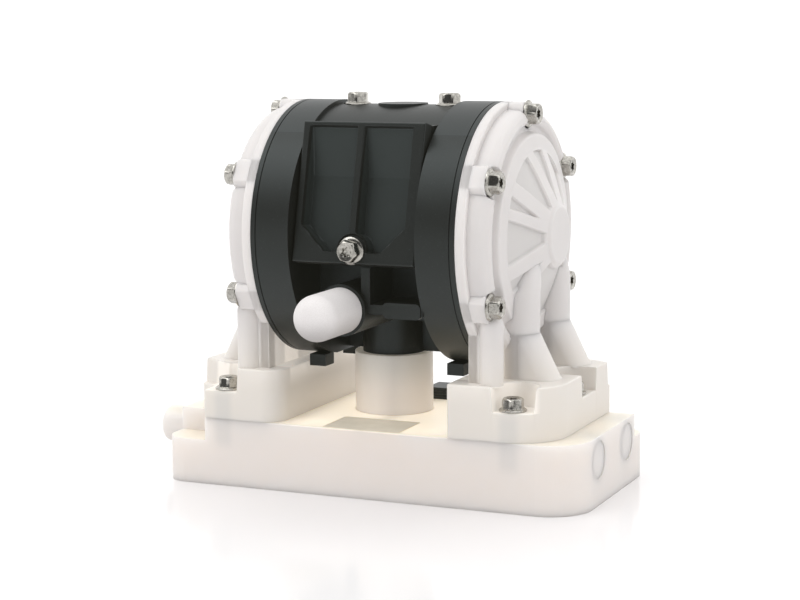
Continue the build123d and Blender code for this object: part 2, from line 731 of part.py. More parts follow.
# Each node is one solid or a list of identical separate solids.
nodes = {
    "base_manifold": base_manifold(),
    "motor_body": motor_body(),
    "fluid_cap_right": right_cap,
    "fluid_cap_left": turn_left(right_cap),
    "valve_cover": valve_cover(),
    "cover_gasket": cover_gasket(),
    "cover_screw": cover_plane * (Pos(0, cover_screw_up, -1.0) * flange_screw(cover_screw_len)),
    "muffler": muffler(),
    "top_plug": cyl_z(top_plug_r, core_r + axis_z - top_plug_t, core_r + axis_z + 0.6),
    "top_screws": [Pos(s * top_screw_x, 0, top_flat_z) * top_screw for s in (-1, 1)],
    "cap_screws_right": cap_screws_right,
    "cap_screws_left": [turn_left(s) for s in cap_screws_right],
    "foot_screws": [
        Pos(sx * foot_screw_x, sy * foot_screw_y, foot_ledge_z) * foot_screw for sx in (-1, 1) for sy in (-1, 1)
    ],
    "rear_port_plug": rear_port_plug(),
    "end_plugs": end_plugs(),
    "diaphragm_right": right_diaphragm,
    "diaphragm_left": turn_left(right_diaphragm),
    "air_plate_right": right_air_plate,
    "air_plate_left": turn_left(right_air_plate),
    "fluid_plate_right": right_fluid_plate,
    "fluid_plate_left": turn_left(right_fluid_plate),
    "diaphragm_rod": diaphragm_rod(),
    "rod_bushes": [
        ring_x(rod_r + run_gap, bush_r, s * (chamber_floor_x - bush_len), s * chamber_floor_x) for s in (-1, 1)
    ],
    "rod_seals": [
        ring_x(rod_r + run_gap, rod_seal_r, s * (chamber_floor_x - bush_len - rod_seal_t),
               s * (chamber_floor_x - bush_len)) for s in (-1, 1)
    ],
    "pilot_rod": pilot_rod(),
    "pilot_bushes": [
        ring_x(pilot_r + run_gap, pilot_bush_r, s * (chamber_floor_x - bush_len), s * chamber_floor_x,
               0, axis_z + pilot_up) for s in (-1, 1)
    ],
    "valve_sleeve": valve_sleeve(),
    "valve_spool": valve_spool(),
    "inlet_ball_right": Pos(leg_x, -leg_y, inlet_ball_z) * Sphere(ball_r),
    "inlet_ball_left": Pos(-leg_x, -leg_y, inlet_ball_z) * Sphere(ball_r),
    "outlet_ball_right": Pos(leg_x, leg_y, outlet_ball_z) * Sphere(ball_r),
    "outlet_ball_left": Pos(-leg_x, leg_y, outlet_ball_z) * Sphere(ball_r),
    "ball_seats": ball_seats,
    "ball_guides": ball_guides,
    "cartridge_seals": cartridge_seals(),
}

if __name__ == "__main__":
    os.makedirs("parts", exist_ok=True)
    for name, shape in nodes.items():
        solid = Compound(children=list(shape)) if isinstance(shape, list) else shape
        export_step(solid, os.path.join("parts", name + ".step"))
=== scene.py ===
import json
import math

import bpy
import numpy as np
from mathutils import Matrix, Vector


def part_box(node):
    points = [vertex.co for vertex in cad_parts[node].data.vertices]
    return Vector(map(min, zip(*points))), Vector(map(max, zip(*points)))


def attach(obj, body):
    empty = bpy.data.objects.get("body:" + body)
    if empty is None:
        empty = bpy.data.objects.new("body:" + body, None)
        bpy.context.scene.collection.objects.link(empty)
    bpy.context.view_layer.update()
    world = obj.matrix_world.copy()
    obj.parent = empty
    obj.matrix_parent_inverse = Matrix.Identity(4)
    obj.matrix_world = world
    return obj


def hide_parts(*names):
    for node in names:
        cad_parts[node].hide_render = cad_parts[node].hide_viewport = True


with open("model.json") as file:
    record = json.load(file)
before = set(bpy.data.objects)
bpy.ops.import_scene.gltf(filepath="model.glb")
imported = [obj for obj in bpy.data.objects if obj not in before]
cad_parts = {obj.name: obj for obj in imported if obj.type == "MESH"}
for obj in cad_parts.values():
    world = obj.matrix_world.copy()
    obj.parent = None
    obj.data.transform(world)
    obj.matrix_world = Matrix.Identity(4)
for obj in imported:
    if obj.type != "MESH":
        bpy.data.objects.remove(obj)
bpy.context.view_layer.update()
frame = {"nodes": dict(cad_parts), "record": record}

# Sizes in millimetres, in the frame of the model: X along the pump axis, Y to the rear, Z up.
# What is given for a cap is the right one's.
MM = 0.001

# Flange screws
SCREW_FLANGE_R = 6.9
SCREW_HEX = 10.0
SCREW_HEAD_H = 6.5
SCREW_SHANK_R = 3.0
HEX_CORNER = 0.562
HEX_CHAMFER = 0.462
SOCKET_R = 2.25
SOCKET_LOBE = 0.42
SOCKET_DEPTH = 2.9
# X, Y and Z of the seats of a cap's foot screws
FOOT_SCREWS = ((78.0, -48.4, 49.5), (78.0, 48.4, 49.5), (91.5, 0.8, 50.2))
FOOT_SCREW_LEN = 28.0
CAP_SCREW_LEN = 24.0
TOP_SCREW_LEN = 20.0
COVER_SCREW_LEN = 22.0
BOLT_ANGLES = [math.radians(30 + 60 * i) for i in range(6)]

# Valve cover. Its face leans, and up means along the face from its foot.
COVER_SCREW_X = -1.1
COVER_SCREW_UP = 7.3
COVER_HALF_W = 32.8
COVER_H = 70.2
COVER_T = 8.0
COVER_LEAN = math.radians(13.2)
COVER_EDGE_R = 0.7
# Y and Z of the foot of the face
COVER_FOOT = (-64.0, 119.6)
# Radii at which the walls round the screw boss and its sunk seat start and end
COVER_BOSS_WALL = (7.9, 8.6)
COVER_SEAT_WALL = (7.15, 7.45)
COVER_SEAT_DEPTH = 1.0
# Outer and inner wall of each channel across the face, and where its slanted wall meets the low one
CHANNELS = ((-29.3, -3.1, -15.8), (26.4, 0.5, 14.2))
# Low end, start of the outer wall above the slant, and top end
CHANNEL_UP = (5.65, 18.8, 68.2)
CHANNEL_DEPTH = 7.8
CHANNEL_FOOT_DEPTH = 17.5
CHANNEL_FALL = 0.222

# Round part of a cap
DRUM_R = 66.0
DRUM_IN_X = 33.9
DRUM_OUT_X = 54.6
FLANGE_X = 59.6
DOME_EDGE_R = 43.0
DOME_EDGE_X = 72.4
DOME_MID_R = 28.5
DOME_MID_X = 78.9
HUB_R = 15.4
HUB_X = 83.9
BOSS_R = 8.0
BOSS_EDGE = 0.6
POCKET_DEPTH = 2.0
# Radii at which the pockets' inner and outer walls start and end
POCKET_INNER_R = (16.2, 17.2)
POCKET_OUTER_R = (41.4, 42.4)
# Width of the spokes, and the angles they stand at
SPOKES = ((8.4, (37.5, 76, 104, 142.5, 201.6, 338.4)), (6.2, (19.3, 160.7, 221, 319)))
# Radius and X of the turned face, from its flange to the hub
FACE_PROFILE = ((66.0, 59.2), (65.6, 59.6), (62.8, 59.6), (62.6, 64.9), (62.3, 66.4), (61.4, 68.3),
                (60.0, 69.8), (58.0, 70.6), (56.4, 70.2), (55.2, 69.2), (54.2, 67.6), (53.8, 67.4),
                (51.8, 67.4), (51.4, 67.6), (50.2, 71.2), (49.6, 71.5), (43.0, 72.4), (38.0, 74.8),
                (33.2, 77.0), (28.5, 78.9), (23.5, 80.9), (19.0, 82.6), (15.4, 83.9), (14.4, 85.1),
                (13.6, 85.3), (0.0, 85.3))
# First radius, last radius and number of rows of points on the flange, the ring, the dome and the hub
FACE_ROWS = ((DRUM_R - 0.4, 63.0, 5), (62.9, 62.5, 5), (62.0, 50.0, 34), (49.5, 44.0, 8), (43.4, 13.2, 60),
             (8.0, 3.0, 2))
# Radius and X of the back, from the middle of the fluid chamber to the outer edge of the flange
BACK_PROFILE = ((15.0, 70.4), (34.0, 67.4), (49.0, 58.6), (49.0, 56.1), (56.05, 56.1), (56.05, DRUM_OUT_X),
                (DRUM_R - 0.4, DRUM_OUT_X), (DRUM_R, DRUM_OUT_X + 0.4), (DRUM_R, 59.2))

# Foot of a cap
FOOT_TOP_Z = 61.7
FOOT_EDGE_R = 0.8
# X, Y and radius of the corners
FOOT_CORNERS = ((46.0, -55.3, 0.8), (99.7, -55.3, 25.0), (99.7, 36.3, 1.0), (88.7, 43.3, 1.0),
                (88.7, 55.3, 0.8), (46.0, 55.3, 11.0))
# X and Y of the point that the outline shrinks to
FOOT_MIDDLE = (71.0, -5.0)
# X, Y and radius of the front niche and of the side niche
FRONT_NICHE = (79.7, -46.0, 10.3)
SIDE_NICHE = (91.5, 2.6, 11.4)
SIDE_NICHE_UP = 0.7
REAR_NICHE_R = 8.0
# Start of the rear niche's slanted wall, its run along X, its fall along Y and the cosine of its slant
REAR_WALL = (69.4, 47.4)
REAR_WALL_RUN = 30.3
REAR_WALL_FALL = 15.0
REAR_WALL_COS = 0.9
NICHE_FLOOR_Z = 49.5
NICHE_SOFT = 0.6

# Legs, gussets, ribs and skirt of a cap
STAND_Z = FOOT_TOP_Z - 1.0
LEG_X = 72.5
LEG_Y = 22.6
LEG_R = 9.5
LEG_TOP_Z = 104.3
LEG_WEB_HALF_W = 7.6
# How far a leg's tip leans outward and towards the axis, its height and how much narrower it gets
TIP_OUT = 3.1
TIP_IN = 3.6
TIP_H = 14.0
TIP_NARROW = 4.5
# Height and radius of the rounded end of a tip
TIP_END = ((118.3, 4.6), (119.4, 2.6))
GUSSET_FOOT_X = 93.7
GUSSET_TOP_Z = 84.0
GUSSET_HALF_W = 9.4
GUSSET_R = 9.3
GUSSET_FILLET = 1.6
# Half length, half width, height and corner radius of the step that closes a gusset
GUSSET_STEP = (7.0, 7.5, 3.0, 7.4)
SKIRT_HALF_W = 48.0
SKIRT_TOP_Z = 96.3
RIB_X = 66.5
RIB_Y = 47.0
RIB_R = 5.8
RIB_TOP_Z = 90.5
RIB_WEB_TOP_Z = 93.4
WEB_CORNER_R = 0.4

# Base and foil
BASE_TOP_Z = 34.9
# X and Y of the column's axis
COLUMN = (-8.0, 4.0)
COLUMN_R = 20.4
FOIL_X = (-22.5, 20.0)
FOIL_Y = (-54.0, -26.0)
FOIL_CORNER_R = 1.2
FOIL_T = 0.15

# Zones of the finishes: where each rise or band starts and ends
POCKET_SUNK = (0.7, 1.5)
POCKET_FRONT_X = (66.0, 68.0)
FOOT_WARM_Z = (52.0, 92.0)
SHANK_X = (73.5, 82.5)
SHANK_Z = (21.0, 48.5)
LEG_SHADE_X = (60.5, 72.0)
LEG_SHADE_Y = (40.0, 43.0)
LEG_SHADE_Z = (56.0, 104.0)
NICHE_SHADE_X = (68.0, 91.0)
NICHE_SHADE_Y = (34.0, 38.0)
NICHE_SHADE_Z = (49.2, 61.2)
FOOT_WALL_Y = (54.6, 55.2)
FLANGE_SHADE_X = (61.0, 66.0)
FLANGE_SHADE_R = (62.0, 64.0)
FLANGE_SHADE_Z = (100.0, 160.0)
SPIGOT_Z = (46.0, 64.0)
BASE_SHADE_X = (-1.0, 44.0)
BASE_SHADE_Y = (-54.0, 62.0)
BASE_SHADE_Z = (34.0, 34.8)
CHANNEL_FLOOR_IN = (2.2, 7.95)
CHANNEL_FLOOR_X = (29.2, 29.6)
CHANNEL_FLOOR_Z = (124.5, 185.5)
SILENCER_SHADE_Z = (84.5, 98.0)


def node_box(name):
    """Lowest and highest corner of a node in millimetres."""
    low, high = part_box(name)
    return np.array(low) / MM, np.array(high) / MM


cap_screw_low, cap_screw_high = node_box("cap_screws_right")
cover_screw_low, cover_screw_high = node_box("cover_screw")
top_screw_high = node_box("top_screws")[1]
AXIS_Z = (cap_screw_low[2] + cap_screw_high[2]) / 2
BOLT_CIRCLE_R = (cap_screw_high[2] - cap_screw_low[2]) / 2 - SCREW_FLANGE_R
BOLT_SEAT_X = cap_screw_high[0] - SCREW_HEAD_H
# Height of the moulding line on the drums
LINE_Z = AXIS_Z + 51.0


# Shader maths


class Wire:
    """A socket of a node tree. Python operators on it add Math nodes."""

    def __init__(self, tree, socket):
        self.tree = tree
        self.socket = socket

    def math(self, operation, *others, turned=False):
        """Math node with this wire and the others as its terms, in the opposite order when turned."""
        node = self.tree.nodes.new("ShaderNodeMath")
        node.operation = operation
        terms = [self, *others]
        if turned:
            terms.reverse()
        for slot, term in zip(node.inputs, terms):
            feed(self.tree, slot, term)
        return Wire(self.tree, node.outputs[0])

    def __add__(self, other):
        return self.math("ADD", other)

    def __radd__(self, other):
        return self.math("ADD", other)

    def __sub__(self, other):
        return self.math("SUBTRACT", other)

    def __rsub__(self, other):
        return self.math("SUBTRACT", other, turned=True)

    def __mul__(self, other):
        return self.math("MULTIPLY", other)

    def __rmul__(self, other):
        return self.math("MULTIPLY", other)

    def __truediv__(self, other):
        return self.math("DIVIDE", other)

    def __neg__(self):
        return self * -1.0

    def __abs__(self):
        return self.math("ABSOLUTE")

    def root(self):
        return self.math("SQRT")

    def low(self, other):
        return self.math("MINIMUM", other)

    def high(self, other):
        return self.math("MAXIMUM", other)

    def rise(self, start, end):
        """0 before start, 1 after end, smooth between."""
        node = self.tree.nodes.new("ShaderNodeMapRange")
        node.interpolation_type = "SMOOTHSTEP"
        feed(self.tree, node.inputs["Value"], self)
        node.inputs["From Min"].default_value = start
        node.inputs["From Max"].default_value = end
        return Wire(self.tree, node.outputs["Result"])

    def band(self, start, end, soft):
        """1 between start and end, 0 outside, with soft edges."""
        return self.rise(start - soft, start + soft) * (1 - self.rise(end - soft, end + soft))


def feed(tree, slot, value):
    """Link a wire to a socket, or set the socket to a plain value."""
    if isinstance(value, Wire):
        tree.links.new(value.socket, slot)
    else:
        slot.default_value = value


class Finish:
    """A material with one Principled shader, written as expressions on wires."""

    def __init__(self, name, **constants):
        self.material = bpy.data.materials.new(name)
        self.material.use_nodes = True
        self.tree = self.material.node_tree
        self.shader = self.tree.nodes["Principled BSDF"]
        for key, value in constants.items():
            self.shader.inputs[key.replace("_", " ")].default_value = value
        self.place = self.node("ShaderNodeTexCoord", out="Object")
        metres = self.node("ShaderNodeSeparateXYZ", out=None, Vector=self.place)
        self.x, self.y, self.z = (Wire(self.tree, metres.outputs[i]) / MM for i in range(3))

    def node(self, kind, settings=None, out=0, **values):
        """Add a node: its settings are set first, then its inputs."""
        node = self.tree.nodes.new(kind)
        for key, value in (settings or {}).items():
            setattr(node, key, value)
        for key, value in values.items():
            feed(self.tree, node.inputs[key.replace("_", " ")], value)
        return node if out is None else Wire(self.tree, node.outputs[out])

    def noise(self, size, detail=3.0, roughness=0.6):
        """Soft noise from 0 to 1 whose lumps are about size millimetres."""
        return self.node("ShaderNodeTexNoise", Vector=self.place, Scale=1 / (size * MM), Detail=detail,
                         Roughness=roughness)

    def cells(self, size):
        """Distance to the nearest of scattered points about size millimetres apart."""
        return self.node("ShaderNodeTexVoronoi", Vector=self.place, Scale=1 / (size * MM))

    def facing(self, axis):
        """Component of the surface normal along X, Y or Z."""
        normal = self.node("ShaderNodeNewGeometry", out="Normal")
        parts = self.node("ShaderNodeSeparateXYZ", out=None, Vector=normal)
        return Wire(self.tree, parts.outputs["XYZ".index(axis)])

    def blend(self, amount, first, second):
        """Colour that goes from first to second."""
        node = self.tree.nodes.new("ShaderNodeMix")
        node.data_type = "RGBA"
        feed(self.tree, node.inputs[0], amount)
        for slot, colour in ((node.inputs[6], first), (node.inputs[7], second)):
            feed(self.tree, slot, colour if isinstance(colour, Wire) else (*colour, 1.0))
        return Wire(self.tree, node.outputs[2])

    def set(self, **wires):
        """Feed inputs of the shader. A name has underscores where the input's name has spaces."""
        for key, value in wires.items():
            feed(self.tree, self.shader.inputs[key.replace("_", " ")], value)

    def bump(self, height, strength, depth):
        """Bump from a height between 0 and 1 that stands for depth millimetres."""
        self.set(Normal=self.node("ShaderNodeBump", Height=height, Strength=strength, Distance=depth * MM))

    def radius(self, a, b):
        """Distance from an axis, from two offsets across it."""
        return (a * a + b * b).root()


# Finishes


def natural_plastic(name, light, shade, reach, weight):
    """Milky plastic: light spreads inside it over the reach, under a satin skin with flow clouds.

    Its emission is switched on, so that a finish can paint a faint glow of light into the shade.
    """
    finish = Finish(name, Subsurface_Weight=weight, Subsurface_Scale=reach * MM, Specular_IOR_Level=0.4,
                    Emission_Strength=1.0)
    finish.shader.inputs["Subsurface Radius"].default_value = (1.0, 0.95, 0.88)
    clouds = finish.noise(26.0, 2.0).rise(0.35, 0.7)
    finish.colour = finish.blend(clouds * 0.35, light, shade)
    skin = finish.noise(0.9, 2.0)
    finish.set(Roughness=0.34 + skin * 0.08)
    finish.bump(skin, 0.25, 0.05)
    return finish


def cap_plastic():
    """Milky white caps, warmer towards the feet, with painted shade in the pockets between the spokes of the
    dome.

    The crest of the spokes follows two straight lines over the radius r, an outer and an inner one. What lies
    below the crest is a pocket. A painted glow of light lifts the shade behind the legs, in the niches of the
    feet and at the inner edge of the flange.
    """
    finish = natural_plastic("cap_plastic", (0.705, 0.68, 0.67), (0.665, 0.64, 0.63), 4.0, 0.4)
    x, y, up = abs(finish.x), finish.y, finish.z - AXIS_Z
    r = finish.radius(y, up)
    outer = DOME_MID_X + (DOME_EDGE_X - DOME_MID_X) * (r - DOME_MID_R) / (DOME_EDGE_R - DOME_MID_R)
    inner = DOME_MID_X + (HUB_X - DOME_MID_X) * (DOME_MID_R - r) / (DOME_MID_R - HUB_R)
    # Painted shade: the pockets between the spokes are greyer.
    pocket = (outer.low(inner) - x).rise(*POCKET_SUNK) * r.band(HUB_R + 1.2, DOME_EDGE_R - 1.2, 0.4)
    pocket = pocket * x.rise(*POCKET_FRONT_X)
    colour = finish.blend(pocket * 0.6, finish.colour, (0.60, 0.585, 0.57))
    warm = 1 - finish.z.rise(*FOOT_WARM_Z)
    colour = finish.blend(warm * 0.75, colour, (0.80, 0.755, 0.69))
    colour = finish.blend(shank_shadow(finish) * 0.3, colour, (0.52, 0.53, 0.53))
    # Painted light: a glow lifts the shade behind the legs, in the niches of the feet and at the flange's
    # inner edge.
    behind = (1 - x.rise(*LEG_SHADE_X)) * finish.z.band(*LEG_SHADE_Z, 6.0)
    behind = behind * (1 - abs(y).rise(*LEG_SHADE_Y) * 0.75)
    niche = x.band(*NICHE_SHADE_X, 1.5) * abs(y).rise(*NICHE_SHADE_Y) * finish.z.band(*NICHE_SHADE_Z, 0.3)
    niche = niche * (1 - abs(y).rise(*FOOT_WALL_Y))
    flange = (1 - x.rise(*FLANGE_SHADE_X)) * r.rise(*FLANGE_SHADE_R) * finish.z.band(*FLANGE_SHADE_Z, 10.0)
    painted_glow = behind.high(niche * 0.8).high(flange * 0.3)
    finish.set(Base_Color=colour, Emission_Color=finish.blend(painted_glow, (0, 0, 0), (0.24, 0.225, 0.205)))
    return finish.material


def shank_shadow(finish):
    """Soft grey streaks where the foot screws show through the milky plastic."""
    across = abs(finish.x).band(*SHANK_X, 2.5)
    along = finish.z.band(*SHANK_Z, 4.0)
    return across * along * abs(finish.facing("Y")).rise(0.6, 0.9)


def base_plastic():
    """Creamy base with a painted warm bounce light on its upward faces, milky grey where the black spigot
    stands in the column.

    Under the body its top and the column carry a faint painted glow of light.
    """
    finish = natural_plastic("base_plastic", (0.83, 0.775, 0.735), (0.81, 0.75, 0.70), 14.0, 0.7)
    # Painted light: upward faces take a warm tint of bounced light.
    top = finish.facing("Z").rise(0.5, 0.9)
    colour = finish.blend(top * 0.7, finish.colour, (0.90, 0.82, 0.68))
    away = finish.radius(finish.x - COLUMN[0], finish.y - COLUMN[1])
    column = 1 - away.rise(COLUMN_R + 0.2, COLUMN_R + 0.6)
    spigot = column * finish.z.rise(*SPIGOT_Z)
    colour = finish.blend(spigot * 0.3, colour, (0.55, 0.56, 0.50))
    colour = finish.blend(shank_shadow(finish) * 0.25, colour, (0.55, 0.55, 0.54))
    # Painted light: a faint glow lifts the shade of the top and the column under the body.
    painted_glow_under_body = abs(finish.x).band(*BASE_SHADE_X, 12.0) * finish.y.band(*BASE_SHADE_Y, 10.0)
    painted_glow_under_body = painted_glow_under_body * finish.z.rise(*BASE_SHADE_Z)
    glow = finish.blend(column, (0.54, 0.475, 0.375), (0.11, 0.10, 0.085))
    finish.set(Base_Color=colour, Emission_Color=finish.blend(painted_glow_under_body, (0, 0, 0), glow))
    return finish.material


def body_plastic():
    """Glass filled black plastic: a fine spark grain with pale specks and a moulding line on each drum.

    Above the line a drum is a little paler: painted top light. The floors of the channels in the cover are
    paler too, with painted light. A faint even emission is painted light that lifts the black. A point stands
    out of the cover's leaning face by (z - foot_z) sin(lean) - (y - foot_y) cos(lean).
    """
    finish = Finish("body_plastic", Specular_IOR_Level=0.5, Specular_Tint=(0.86, 0.98, 1.0, 1.0),
                    Emission_Strength=1.0)
    # Painted light: a faint even glow lifts the black.
    finish.shader.inputs["Emission Color"].default_value = (0.006, 0.006, 0.0045, 1.0)
    grain = finish.noise(0.55, 4.0, 0.7)
    specks = finish.noise(0.8, 2.0).rise(0.6, 0.78)
    smooth = finish.noise(30.0, 2.0)
    colour = finish.blend(specks * 0.5, (0.0088, 0.0085, 0.0070), (0.034, 0.040, 0.040))
    drum = abs(finish.x).rise(DRUM_IN_X, DRUM_IN_X + 0.5)
    line = finish.z.band(LINE_Z, LINE_Z + 0.35, 0.1) * drum
    # Painted top light: the drums are paler above the moulding line.
    above = finish.z.rise(LINE_Z, LINE_Z + 0.5) * drum
    colour = finish.blend(above * 0.5, colour, (0.030, 0.034, 0.035))
    foot_y, foot_z = COVER_FOOT
    out = (finish.z - foot_z) * math.sin(COVER_LEAN) - (finish.y - foot_y) * math.cos(COVER_LEAN)
    # Painted light: the floors of the cover's channels are paler.
    floor = (-out).band(*CHANNEL_FLOOR_IN, 0.1) * (1 - abs(finish.x).rise(*CHANNEL_FLOOR_X))
    floor = floor * finish.z.band(*CHANNEL_FLOOR_Z, 0.5)
    colour = finish.blend(floor, colour, (0.020, 0.024, 0.023))
    finish.set(Base_Color=finish.blend(line * 0.9, colour, (0.004, 0.004, 0.004)))
    finish.set(Roughness=0.34 + grain * 0.14 + smooth * 0.05)
    finish.bump(grain - line * 0.6, 0.35, 0.10)
    return finish.material


def porous_plastic():
    """Sintered white silencer: rounded beads with fine pores between them, with painted shade towards its
    underside.
    """
    finish = Finish("porous_plastic", Specular_IOR_Level=0.15)
    beads = finish.cells(0.45)
    pores = finish.noise(0.5, 3.0)
    tone = finish.noise(14.0, 2.0)
    between = beads.rise(0.35, 0.75) * 0.35 + tone * 0.15
    colour = finish.blend(between, (0.80, 0.775, 0.77), (0.68, 0.65, 0.64))
    # Painted shade: the silencer darkens towards its underside.
    below = 1 - finish.z.rise(*SILENCER_SHADE_Z)
    finish.set(Base_Color=finish.blend(below * 0.7, colour, (0.36, 0.345, 0.335)))
    finish.set(Roughness=0.75 + pores * 0.15)
    finish.bump(1 - beads * 0.8 + pores * 0.3, 0.25, 0.1)
    return finish.material


def screw_steel():
    """Bright rolled stainless steel with faint tumbling marks."""
    finish = Finish("screw_steel", Metallic=1.0)
    marks = finish.noise(1.4, 4.0, 0.7)
    fine = finish.noise(0.25, 2.0)
    finish.set(Base_Color=finish.blend(marks.rise(0.35, 0.75), (0.53, 0.515, 0.475), (0.30, 0.29, 0.265)))
    finish.set(Roughness=0.14 + marks * 0.16)
    finish.bump(fine, 0.15, 0.03)
    return finish.material


def ground_steel():
    """Ground and polished rod steel with fine turning rings along X."""
    finish = Finish("ground_steel", Metallic=1.0)
    rings = finish.node("ShaderNodeTexWave", {"bands_direction": "X"}, Vector=finish.place, Scale=900.0,
                        Distortion=1.5)
    finish.set(Base_Color=finish.blend(rings * 0.3, (0.62, 0.62, 0.62), (0.50, 0.50, 0.51)))
    finish.set(Roughness=0.18 + rings * 0.1)
    finish.bump(rings, 0.1, 0.02)
    return finish.material


def black_rubber():
    """Moulded rubber with a dull bloom."""
    finish = Finish("black_rubber", Specular_IOR_Level=0.3)
    bloom = finish.noise(5.0, 3.0)
    finish.set(Base_Color=finish.blend(bloom * 0.6, (0.012, 0.012, 0.012), (0.035, 0.035, 0.036)))
    finish.set(Roughness=0.62 + bloom * 0.2)
    finish.bump(finish.noise(0.4, 3.0), 0.2, 0.05)
    return finish.material


def fabric_rubber():
    """Diaphragm rubber over a woven fabric, whose threads show as a fine grid."""
    finish = Finish("fabric_rubber", Specular_IOR_Level=0.3)
    across = (finish.y * (math.pi / 0.7)).math("SINE")
    along = (finish.z * (math.pi / 0.7)).math("SINE")
    weave = (across * along) * 0.5 + 0.5
    finish.set(Base_Color=finish.blend(weave * 0.5, (0.015, 0.015, 0.016), (0.045, 0.045, 0.047)))
    finish.set(Roughness=0.6 + weave * 0.15)
    finish.bump(weave, 0.4, 0.12)
    return finish.material


def bearing_plastic():
    """Cream bearing plastic with faint turning marks."""
    finish = Finish("bearing_plastic", Specular_IOR_Level=0.4)
    flow = finish.noise(6.0, 3.0)
    finish.set(Base_Color=finish.blend(flow * 0.5, (0.66, 0.63, 0.52), (0.56, 0.53, 0.43)))
    finish.set(Roughness=0.4 + flow * 0.15)
    finish.bump(finish.noise(0.6, 2.0), 0.15, 0.04)
    return finish.material


def ball_plastic():
    """Polished white plastic of the check balls."""
    finish = Finish("ball_plastic", Specular_IOR_Level=0.5)
    flow = finish.noise(4.0, 2.0)
    finish.set(Base_Color=finish.blend(flow * 0.4, (0.84, 0.84, 0.82), (0.76, 0.76, 0.73)))
    finish.set(Roughness=0.2 + flow * 0.08)
    finish.bump(finish.noise(1.2, 2.0), 0.05, 0.02)
    return finish.material


def foil():
    """Satin silver foil with fine brushing along X, slightly dull patches and a faint painted glow that lifts
    it in the body's shade.
    """
    finish = Finish("foil", Metallic=0.25, Emission_Strength=1.0)
    # Painted light: a faint glow lifts the foil in the body's shade.
    finish.shader.inputs["Emission Color"].default_value = (0.17, 0.155, 0.125, 1.0)
    stretched = finish.node("ShaderNodeMapping", Vector=finish.place, Scale=(0.04, 1.0, 1.0))
    brushing = finish.node("ShaderNodeTexNoise", Vector=stretched, Scale=2500.0, Detail=3.0)
    patches = finish.noise(9.0, 2.0)
    finish.set(Base_Color=finish.blend(patches.rise(0.3, 0.7) * 0.6, (0.76, 0.71, 0.60), (0.68, 0.63, 0.52)))
    finish.set(Roughness=0.32 + brushing * 0.14 + patches * 0.06)
    finish.bump(brushing, 0.12, 0.02)
    return finish.material


cap_white = cap_plastic()
base_cream = base_plastic()
body_black = body_plastic()
bright_steel = screw_steel()
seal_black = black_rubber()
bush_cream = bearing_plastic()
node_finish = {
    "natural_plastic": cap_white,
    "natural_plastic_warm": base_cream,
    "black_plastic": body_black,
    "muffler_plastic": porous_plastic(),
    "stainless": bright_steel,
    "rod_steel": ground_steel(),
    "seal_rubber": seal_black,
    "diaphragm_rubber": fabric_rubber(),
    "bearing_plastic": bush_cream,
    "ball_plastic": ball_plastic(),
}
for part in frame["record"]["subparts"]:
    node = frame["nodes"][part["node"]]
    finish_of_node = base_cream if part["node"] == "end_plugs" else node_finish[part["material_slot"]]
    node.data.materials.clear()
    node.data.materials.append(finish_of_node)


# New pieces


def lathe_faces(rows, steps):
    """Faces between rows of points that go round an axis, with a pole before the first and after the last."""
    ring = np.arange(steps)
    after = (ring + 1) % steps
    faces = []
    for row in range(rows - 1):
        a, b = row * steps, (row + 1) * steps
        faces += np.stack([a + ring, a + after, b + after, b + ring], axis=1).tolist()
    start, end = rows * steps, rows * steps + 1
    faces += np.stack([np.full(steps, start), after, ring], axis=1).tolist()
    last = (rows - 1) * steps
    faces += np.stack([np.full(steps, end), last + ring, last + after], axis=1).tolist()
    return faces


def add_piece(name, points, faces, material, slot, sharp=35.0):
    """Make a mesh object from points in millimetres, at the origin, riding on the root body."""
    mesh = bpy.data.meshes.new(name)
    mesh.from_pydata((np.asarray(points) * MM).tolist(), [], faces)
    mesh.polygons.foreach_set("use_smooth", np.ones(len(faces), dtype=bool))
    mesh.set_sharp_from_angle(angle=math.radians(sharp))
    mesh.materials.append(material)
    mesh.update()
    piece = bpy.data.objects.new(name, mesh)
    bpy.context.scene.collection.objects.link(piece)
    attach(piece, "root")
    return piece


def closed_shell(loops, start, end):
    """Points and faces of a closed form: loops of points one after another and a pole at either end."""
    points = np.concatenate([*loops, [start, end]])
    return points, lathe_faces(len(loops), len(loops[0]))


